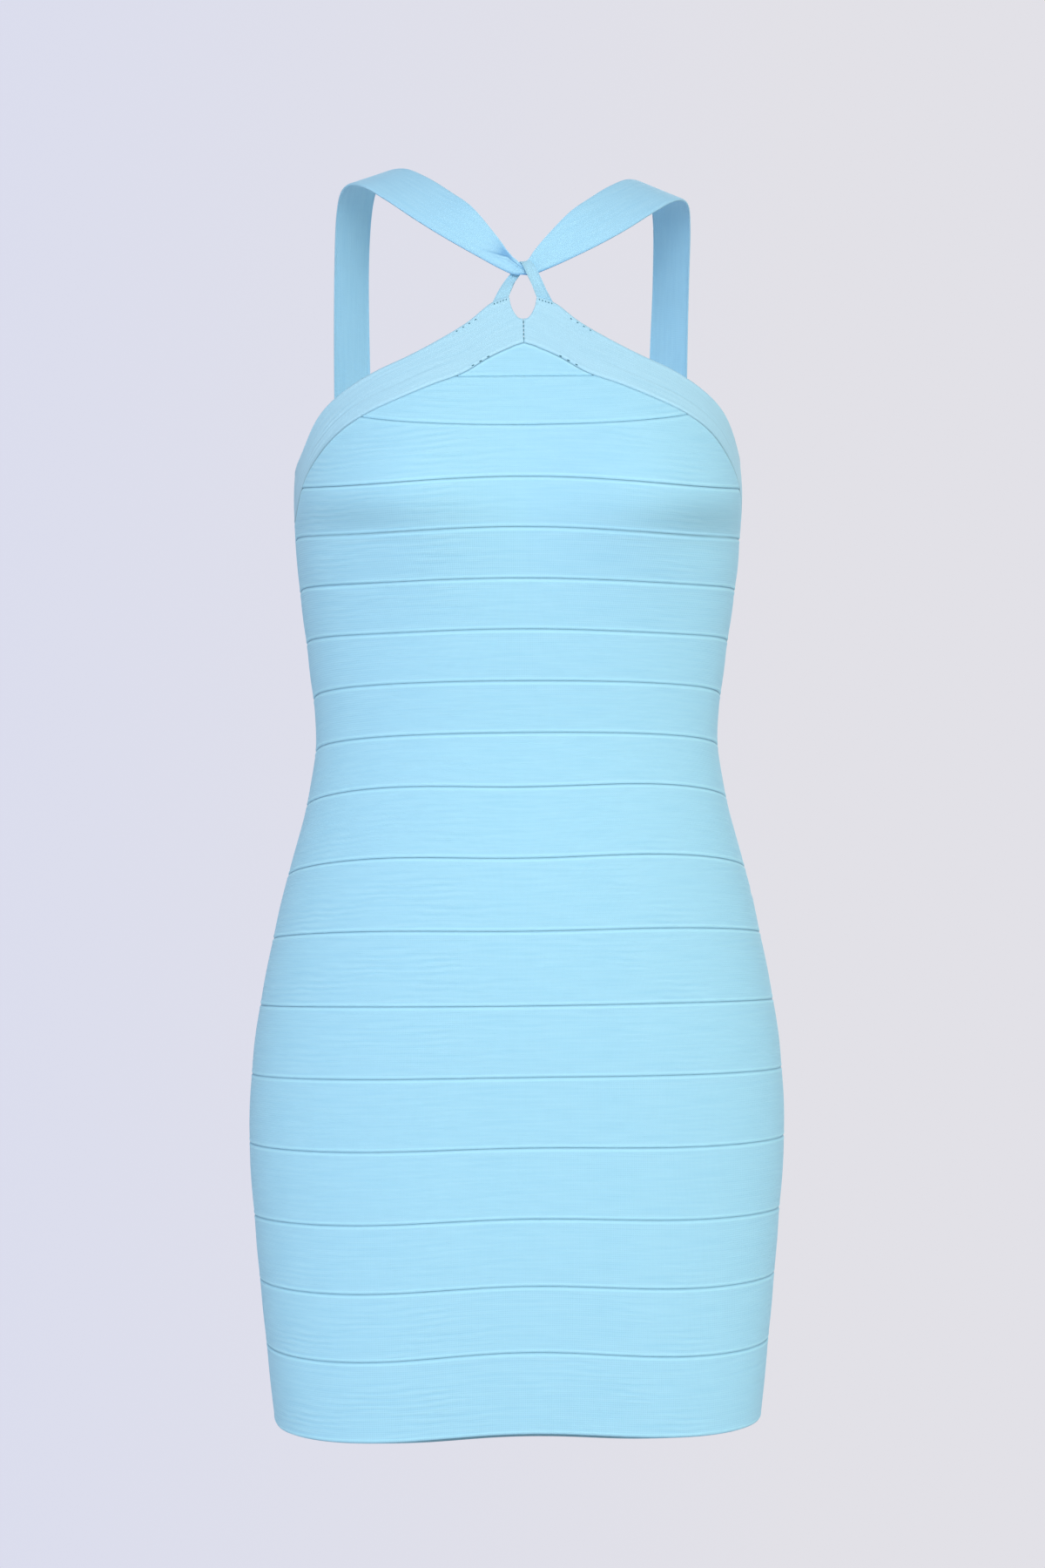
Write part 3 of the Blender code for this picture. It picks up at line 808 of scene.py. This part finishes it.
# ---------------------------------------------------------------------------------------------
# Neck strap and loop. The strap is one ribbon of doubled knit from one end of the back band over a
# shoulder, through the loop, where it is gathered small, and over the other shoulder. The loop is
# a short ribbon sewn to both bust bands; it rises in front of the strap and comes down behind it.
# ---------------------------------------------------------------------------------------------
# A cut across a ribbon: places of its first and its second edge, out from the middle, back and down
Cut = namedtuple("Cut", "out_1 back_1 drop_1 out_2 back_2 drop_2")
NECK_STRAP = (
    Cut(0.000, -0.0640, 0.0692, 0.000, -0.0634, 0.0648),
    Cut(0.005, -0.0638, 0.0692, 0.004, -0.0631, 0.0629),
    Cut(0.011, -0.0632, 0.0670, 0.008, -0.0614, 0.0572),
    Cut(0.024, -0.0610, 0.0605, 0.015, -0.0575, 0.0445),
    Cut(0.047, -0.0570, 0.0480, 0.030, -0.0490, 0.0275),
    Cut(0.066, -0.0490, 0.0360, 0.043, -0.0370, 0.0170),
    Cut(0.084, -0.0360, 0.0230, 0.058, -0.0190, 0.0060),
    Cut(0.099, -0.0170, 0.0130, 0.072, 0.0010, -0.0010),
    Cut(0.109, 0.0080, 0.0120, 0.084, 0.0220, 0.0020),
    Cut(0.113, 0.0340, 0.0250, 0.090, 0.0440, 0.0180),
    Cut(0.114, 0.0560, 0.0600, 0.092, 0.0680, 0.0550),
    Cut(0.114, 0.0680, 0.1150, 0.091, 0.0810, 0.1120),
    Cut(0.113, 0.0709, 0.1916, 0.089, 0.0855, 0.1934),
)
NECK_LOOP = (
    Cut(0.0090, -0.0678, 0.0820, 0.0193, -0.0692, 0.0860),
    Cut(0.0056, -0.0685, 0.0758, 0.0140, -0.0690, 0.0775),
    Cut(0.0025, -0.0680, 0.0691, 0.0106, -0.0678, 0.0700),
    Cut(0.0005, -0.0666, 0.0648, 0.0080, -0.0664, 0.0646),
    Cut(-0.0013, -0.0636, 0.0615, 0.0042, -0.0630, 0.0602),
    Cut(-0.0028, -0.0603, 0.0640, 0.0024, -0.0596, 0.0630),
    Cut(-0.0066, -0.0597, 0.0676, -0.0008, -0.0595, 0.0682),
    Cut(-0.0110, -0.0612, 0.0733, -0.0044, -0.0615, 0.0730),
    Cut(-0.0152, -0.0650, 0.0800, -0.0065, -0.0648, 0.0775),
    Cut(-0.0193, -0.0692, 0.0860, -0.0090, -0.0678, 0.0820),
)
RIBBON_ROWS = 49  # rows of a ribbon's grid, from edge to edge
EDGE_ROLL = 0.0008  # a ribbon's edges are rolled over this width


def ribbon_points(cuts, along, across):
    """Points of a ribbon: a smooth curve through each edge's places, joined straight across."""
    spots = np.arange(len(cuts), dtype=float)
    at = along * (len(cuts) - 1)
    first, second = (
        np.column_stack(
            [through(at, spots, column(cuts, f"{way}_{edge}")) for way in ("out", "back", "drop")]
        )
        for edge in (1, 2)
    )
    points = first[None] + across[:, None, None] * (second - first)[None]
    lean = np.interp(points[:, :, 2], column(LEANS, "drop"), column(LEANS, "slope"))
    points[:, :, 2] = lean * points[:, :, 0] - points[:, :, 2]
    return points


def ribbon_piece(node, cuts, columns, material, fold):
    """A ribbon with rolled edges. fold(along, across, edge) gives the lift and the shade that its
    own folds add. The grid's rows stand close together near both edges."""
    along = np.linspace(0.0, 1.0, columns)
    across = 0.5 - 0.5 * np.cos(np.pi * np.linspace(0.0, 1.0, RIBBON_ROWS))
    points = ribbon_points(cuts, along, across)
    wide = np.linalg.norm(points[-1] - points[0], axis=1)
    edge = np.minimum(across, 1 - across)[:, None] * wide[None, :]
    lift, shade = fold(along[None, :], across[:, None], edge)
    lift = lift + KNIT / 2 - GROOVE * np.exp(-((edge / EDGE_ROLL) ** 2))
    step = np.linalg.norm(np.diff(points.mean(axis=0), axis=0), axis=1)
    way = np.concatenate([[0.0], np.cumsum(step)])
    height = across[:, None] * wide[None, :]
    cloth = np.stack(np.broadcast_arrays(way[None, :], height, shade), axis=2)
    piece = surface(f"{node}_knit", lifted(points, lift), cloth, material, node)
    declare_sheet(points)


GATHER = 0.00025  # height of the small folds in the loop
ROLL_OVER = 0.0008  # height of the long fold, and depth of the hollow above it
FOLD_ALONG = (0.360, 0.385, 0.417, 0.458, 0.500)  # the long fold's line, by share of the length
FOLD_ACROSS = (0.20, 0.45, 0.78, 0.76, 0.68)  # and by share of the width there
FOLD_START, FOLD_END = 0.365, 0.505  # it fades in and out at these shares of the length
HOLLOW_AT = 0.407  # and the hollow above it is deepest here


def strap_fold(along, across, edge):
    """Small folds gather the strap in the loop: a slanting wave under a bell about the middle. On
    the left the cloth below a long line rolls over the cloth above it, which lies back in painted
    shade, with painted shade along the line itself; both lower edges roll under beside the loop,
    with painted shade along them."""
    near = np.exp(-(((along - 0.5) / 0.05) ** 2))
    lift = GATHER * near * np.sin(2 * np.pi * (1.6 * across + 3.0 * (along - 0.5)))
    start = np.clip((along - FOLD_START) / 0.03, 0, 1)
    fade = start * np.clip((FOLD_END - along) / 0.01, 0, 1)
    past = across - np.interp(along, FOLD_ALONG, FOLD_ACROSS)
    line = np.exp(-((past / 0.04) ** 2))
    rim = np.exp(-(((1 - across) / 0.06) ** 2))
    bell = np.exp(-(((along - HOLLOW_AT) / 0.034) ** 2))
    hollow = np.clip(past / 0.06, 0, 1) * bell * (1 - rim)
    rolled = np.exp(-(((past + 0.09) / 0.09) ** 2))
    lift = lift + fade * (ROLL_OVER * rolled - ROLL_OVER * hollow)
    beside = np.exp(-(((along - 0.5) / 0.14) ** 2))
    under = np.exp(-((edge / EDGE_ROLL) ** 2)) * (across < 0.5) * beside
    # Painted shade along the fold's line, in the hollow above it and on the rolled-under lower
    # edges
    return lift, fade * (2.0 * line + 1.7 * hollow) + np.where(along > 0.5, 2.8, 1.9) * under


def plain(along, across, edge):
    """No folds, and a little shade at the edges."""
    return np.zeros_like(along * across), 0.25 * np.exp(-((edge / ROLL) ** 2))


def gathered(drops):
    """The strap's cuts from the loop on, with the upper edge moved to these drops beside it."""
    moved = [cut._replace(drop_2=drop) for cut, drop in zip(NECK_STRAP, drops)]
    return [*moved, *NECK_STRAP[len(drops) :]]


def mirrored(cuts):
    """The cuts of the other half, from its end to the cut next to the middle."""
    return [cut._replace(out_1=-cut.out_1, out_2=-cut.out_2) for cut in cuts[:0:-1]]


# The strap's painted shade goes towards a deep blue
strap_knit = knit_material(
    "strap_knit", (0.355, 0.68, 0.89), (0.415, 0.74, 0.93), (0.16, 0.38, 0.64), relief=0.25
)
loop_knit = knit_material("loop_knit", (0.36, 0.66, 0.82), (0.42, 0.72, 0.87))
right_half = gathered((0.0625, 0.0588, 0.0528, 0.0440))
left_half = mirrored(gathered((0.0625, 0.0597, 0.0560, 0.0460)))
ribbon_piece("neck_strap", [*left_half, *right_half], 400, strap_knit, strap_fold)
# The loop's ends are tucked in behind the bands' upper edges, by this much back and down
TUCK = (0.0, 0.0008, 0.0018) * 2
right_end, left_end = (Cut(*np.add(cut, TUCK)) for cut in (NECK_LOOP[0], NECK_LOOP[-1]))
loop = [right_end, *NECK_LOOP[1:-1], left_end]
ribbon_piece("neck_loop", loop, 96, loop_knit, plain)
